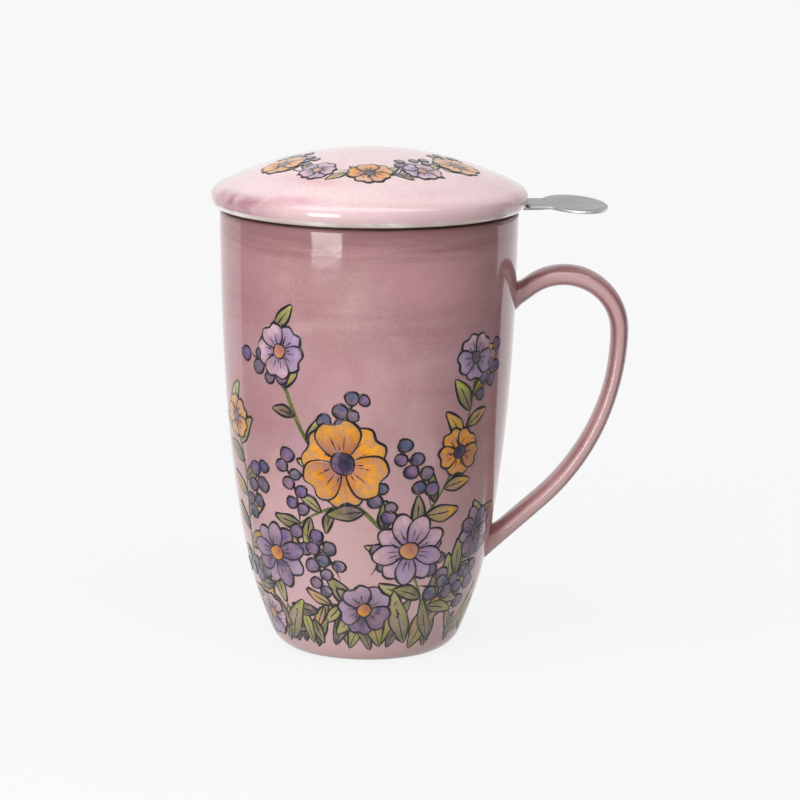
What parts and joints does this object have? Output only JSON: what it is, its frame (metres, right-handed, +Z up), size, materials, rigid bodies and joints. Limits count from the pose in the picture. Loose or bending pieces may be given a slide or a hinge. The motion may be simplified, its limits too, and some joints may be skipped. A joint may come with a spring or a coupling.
{
  "type": "tea mug with infuser",
  "caption": "Tall tapered ceramic tea mug with a strap handle, a lift-out perforated steel infuser with a thumb tab, and a loose domed ceramic lid.",
  "frame": {"origin": "centre of the foot ring, on the surface that the mug stands on", "axes": "+Z up along the mug's axis, +X towards the mug's handle, +Y to the back with the handle on the right"},
  "size_m": [0.1207, 0.091, 0.1449],
  "materials": {
    "mug_glaze": "glossy clear glaze over a washed dusty-pink underglaze with a painted garden design",
    "lid_glaze": "glossy clear glaze over a pale pink wash, with a bare white band along the seat",
    "infuser_steel": "drawn and rolled stainless sheet, satin",
    "tab_steel": "stamped stainless sheet, brushed satin"
  },
  "bodies": {
    "mug": {"mug_body": "mug_glaze", "mug_handle": "mug_glaze"},
    "infuser": {"infuser_rim": "infuser_steel", "thumb_tab": "tab_steel", "tab_spot_welds": "tab_steel", "infuser_sleeve": "infuser_steel", "infuser_base_cup": "infuser_steel"},
    "lid": {"lid": "lid_glaze"}
  },
  "joints": [
    {"name": "infuser_lift", "type": "slide", "parent": "mug", "child": "infuser", "axis": [0, 0, 1], "range_m": [0, 0.09]},
    {"name": "lid_lift", "type": "slide", "parent": "infuser", "child": "lid", "axis": [0, 0, 1], "range_m": [0, 0.05]}
  ]
}
